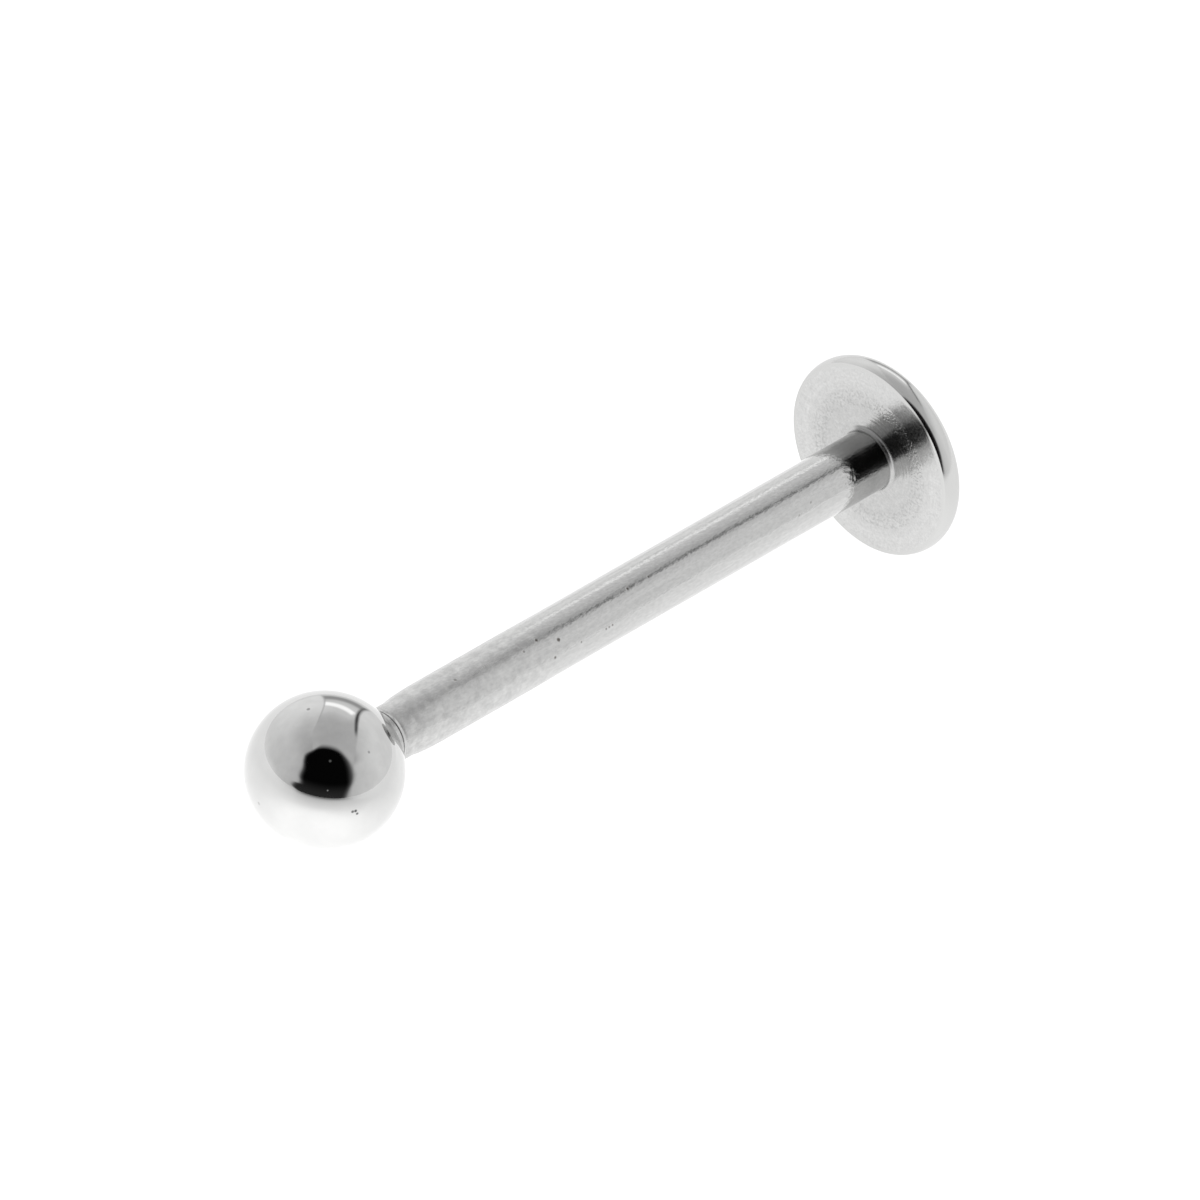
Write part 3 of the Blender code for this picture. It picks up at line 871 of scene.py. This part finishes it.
# Tones by degrees round from the camera for the walls, and up from the floor for the back.
LEFT_WALL_TONE = ((40, 0.58), (60, 0.66), (80, 0.69), (100, 0.77), (120, 0.83), (140, 0.91), (180, 0.95))
RIGHT_WALL_TONE = ((40, 0.62), (60, 0.70), (80, 0.79), (100, 0.85), (180, 0.85))
BACK_TONE = ((0, 0.66), (6, 0.57), (12, 0.38), (20, 0.70), (30, 0.84), (44, 0.78), (54, 0.64), (66, 0.54),
             (90, 0.52))
# Each side of the opening: how far round from the camera it reaches, by degrees up from the floor.
OPENING_LEFT = ((0, 30), (4, 39), (8, 37), (12, 30), (20, 34), (32, 36), (42, 42.5), (48, 45.5), (57, 41),
                (66, 36), (72, 34), (80, 34))
OPENING_RIGHT = ((0, 33), (6, 35), (12, 38), (20, 43), (30, 46), (46, 47), (57, 45), (66, 42), (72, 40),
                 (80, 40))
OPENING_DARKNESS = ((0, 1.0), (6, 0.97), (12, 0.85), (17, 0.55), (22, 0.20), (28, 0.0))
OPENING_ROUNDING = 0.35
OPENING_TOP = (0.205, 0.365)
# Each arch: its middle round from the camera, half width, half height, squareness and softness.
RIGHT_SEAM_ARCH = (102.0, 61.0, 58.5, 2.7, 0.08)
RIGHT_WALL_ARCH = (102.0, 59.5, 55.2, 2.4, 0.08)
LEFT_SEAM_ARCH = (-95.0, 77.0, 68.0, 3.0, 0.04)
LEFT_WALL_ARCH = (-95.0, 76.0, 66.5, 3.0, 0.05)
RIGHT_SEAM_TONE = 0.11
RIGHT_SEAM_DEEP_TONE = 0.07
LEFT_SEAM_TONE = 0.52
GAP_LEVEL = 31.5
GAP_SLOPE = 0.235
GAP_TONE = 1.36
HEM_TONE = 0.86
LAMP_TONE = 0.25
HAZE_TONE = 0.11

tent = bpy.data.worlds.new("light_tent")
tent.use_nodes = True
bpy.context.scene.world = tent
cloth = Wiring(tent)
cloth_direction = cloth.nodes.new("ShaderNodeTexCoord").outputs["Generated"]
reach = cloth.split(cloth_direction)


def level_run(direction):
    """How far the sky's direction goes along a level direction."""
    return cloth.math("ADD", cloth.math("MULTIPLY", reach[0], direction[0]),
                      cloth.math("MULTIPLY", reach[1], direction[1]))


near = level_run(TOWARD_CAMERA)
right = level_run((cos(CAMERA_AZIMUTH), sin(CAMERA_AZIMUTH)))
azimuth = cloth.math("DEGREES", cloth.math("ARCTAN2", right, near))
from_back = cloth.math("DEGREES", cloth.math("ARCTAN2", cloth.math("MULTIPLY", right, -1.0),
                                             cloth.math("MULTIPLY", near, -1.0)))
elevation = cloth.math("DEGREES", cloth.math("ARCSINE", cloth.math("MINIMUM", reach[2], 1.0)))
off_camera = cloth.math("ABSOLUTE", azimuth)


def arch(across, middle, half_width, half_height, power, softness, level=0.0):
    """1 inside a rounded patch of the tent, 0 outside it, in degrees."""
    x = cloth.math("POWER", cloth.math("ABSOLUTE", cloth.math(
        "DIVIDE", cloth.math("SUBTRACT", across, middle), half_width)), power)
    y = cloth.math("POWER", cloth.math("ABSOLUTE", cloth.math(
        "DIVIDE", cloth.math("SUBTRACT", elevation, level), half_height)), power)
    return cloth.fade(cloth.math("ADD", x, y), 1 - softness, 1 + softness, 1.0, 0.0)


def over(below, tone, mask):
    """Lays a tone over what is there where the mask is 1."""
    node = cloth.nodes.new("ShaderNodeMix")
    node.data_type = "FLOAT"
    cloth.links.new(mask, node.inputs["Factor"])
    cloth.give(node.inputs[2], below)
    cloth.give(node.inputs[3], tone)
    return node.outputs[0]


fade = cloth.fade
on_right = fade(azimuth, -1.0, 1.0, 0.0, 1.0)
roof = fade(elevation, 50.0, 90.0, ROOF_TONE[0], ROOF_TONE[1])
at_back = fade(cloth.math("ABSOLUTE", from_back), 18.0, 38.0, 1.0, 0.0)
light = over(roof, cloth.curve(elevation, 90.0, 1.0, BACK_TONE), at_back)

gap_level = cloth.math("SUBTRACT", GAP_LEVEL, cloth.math("MULTIPLY", from_back, GAP_SLOPE))
off_gap = cloth.math("ABSOLUTE", cloth.math("SUBTRACT", elevation, gap_level))
gap = cloth.math("MULTIPLY", fade(from_back, -23.0, -18.0, 0.0, 1.0), fade(from_back, 11.0, 15.0, 1.0, 0.0))
light = over(light, GAP_TONE, cloth.math("MULTIPLY", gap, fade(off_gap, 1.5, 7.0, 1.0, 0.0)))

draped = fade(elevation, 30.0, 62.0, 1.0, 0.76)
seam = cloth.math("MULTIPLY", arch(azimuth, *RIGHT_SEAM_ARCH), fade(azimuth, 106.0, 132.0, 0.0, 1.0))
light = over(light, fade(azimuth, 141.0, 151.0, RIGHT_SEAM_TONE, RIGHT_SEAM_DEEP_TONE), seam)
shaded = cloth.math("MULTIPLY", fade(azimuth, 60.0, 84.0, 0.26, 0.0), fade(elevation, 36.0, 47.0, 0.0, 1.0))
right_tone = cloth.math("MULTIPLY", cloth.curve(azimuth, 180.0, 1.0, RIGHT_WALL_TONE), draped)
right_tone = cloth.math("MULTIPLY", right_tone, cloth.math("SUBTRACT", 1.0, shaded))
light = over(light, right_tone, cloth.math("MULTIPLY", arch(azimuth, *RIGHT_WALL_ARCH), on_right))

seam = cloth.math("MULTIPLY", arch(azimuth, *LEFT_SEAM_ARCH), fade(azimuth, -138.0, -128.0, 1.0, 0.0))
light = over(light, LEFT_SEAM_TONE, seam)
left_tone = cloth.math("MULTIPLY", cloth.curve(off_camera, 180.0, 1.0, LEFT_WALL_TONE), draped)
light = over(light, left_tone, arch(azimuth, *LEFT_WALL_ARCH))
hem = cloth.math("MULTIPLY", fade(elevation, 0.0, 9.0, 1.0, 0.0), fade(off_camera, 50.0, 90.0, 0.0, 1.0))
light = over(light, HEM_TONE, hem)
folds = cloth.noise(cloth_direction, 4.0, 4.0, 0.6)
light = cloth.math("MULTIPLY", light, cloth.ranged(folds, 0.3, 0.7, 1.0 - CLOTH_FOLDS, 1.0 + CLOTH_FOLDS))

left_edge = cloth.curve(elevation, 90.0, 60.0, OPENING_LEFT)
right_edge = cloth.curve(elevation, 90.0, 60.0, OPENING_RIGHT)
past_edge = cloth.math("SUBTRACT", off_camera, over(left_edge, right_edge, on_right))
crispness = over(2.2, fade(elevation, 12.0, 30.0, 2.0, 1.3), on_right)
past_edge = cloth.math("ADD", cloth.math("MULTIPLY", past_edge, crispness), 12.0)
inside = cloth.curve(past_edge, 32.0, 1.0, OPENING_DARKNESS)
rounded = cloth.math("MULTIPLY", cloth.math("POWER", right, 2.0), OPENING_ROUNDING)
under_top = fade(cloth.math("SUBTRACT", near, rounded), OPENING_TOP[0], OPENING_TOP[1], 0.0, 1.0)
light = over(light, fade(elevation, 2.0, 22.0, 0.025, 0.002), cloth.math("MULTIPLY", inside, under_top))

light = over(light, LAMP_TONE, arch(azimuth, 9.0, 1.2, 1.2, 2.0, 0.5, level=11.0))
haze = cloth.math("MULTIPLY", arch(azimuth, 9.0, 2.8, 1.7, 2.0, 0.9, level=53.0), HAZE_TONE)
light = cloth.math("ADD", light, haze)
light = over(light, 1.0, fade(elevation, -0.6, 0.0, 1.0, 0.0))
light = cloth.math("MULTIPLY", light, TENT_STRENGTH)
seen = cloth.nodes.new("ShaderNodeLightPath").outputs["Is Camera Ray"]
shone = tent.node_tree.nodes["Background"]
shone.inputs["Color"].default_value = (1.0, 1.0, 1.0, 1.0)
cloth.links.new(over(light, 1.2, seen), shone.inputs["Strength"])

# Camera
# Far away with a long lens, as flat as the photograph: it looks down at the
# stud from the ball's side and leans a little.
CAMERA_ELEVATION = radians(37.7)
CAMERA_ROLL = radians(9.85)
LENS = 1600.0
SENSOR = 36.0
PIXELS = 1200.0
PIXELS_PER_METRE = 54000.0
BALL_PIXEL = Vector((325.9, 770.0))
FACE_PIXEL = Vector((869.9, 458.9))

level_right = Vector((cos(CAMERA_AZIMUTH), sin(CAMERA_AZIMUTH), 0.0))
backward = Vector((sin(CAMERA_AZIMUTH) * cos(CAMERA_ELEVATION), -cos(CAMERA_AZIMUTH) * cos(CAMERA_ELEVATION),
                   sin(CAMERA_ELEVATION)))
level_up = backward.cross(level_right)
image_right = cos(CAMERA_ROLL) * level_right + sin(CAMERA_ROLL) * level_up
image_up = -sin(CAMERA_ROLL) * level_right + cos(CAMERA_ROLL) * level_up
distance = PIXELS / PIXELS_PER_METRE * LENS / SENSOR
middle = 0.5 * (BALL_CENTRE + FACE_MIDDLE)
middle_pixel = 0.5 * (BALL_PIXEL + FACE_PIXEL)
aim = middle - image_right * (middle_pixel.x - PIXELS / 2) / PIXELS_PER_METRE
aim += image_up * (middle_pixel.y - PIXELS / 2) / PIXELS_PER_METRE

camera_data = bpy.data.cameras.new("camera")
camera_data.lens = LENS
camera_data.sensor_width = SENSOR
camera_data.clip_start = 0.1
camera_data.clip_end = 10.0
camera = bpy.data.objects.new("camera", camera_data)
bpy.context.scene.collection.objects.link(camera)
turn = Matrix((image_right, image_up, backward)).transposed().to_4x4()
camera.matrix_world = Matrix.Translation(aim + distance * backward) @ turn
bpy.context.scene.camera = camera
bpy.context.scene.view_settings.view_transform = "Standard"
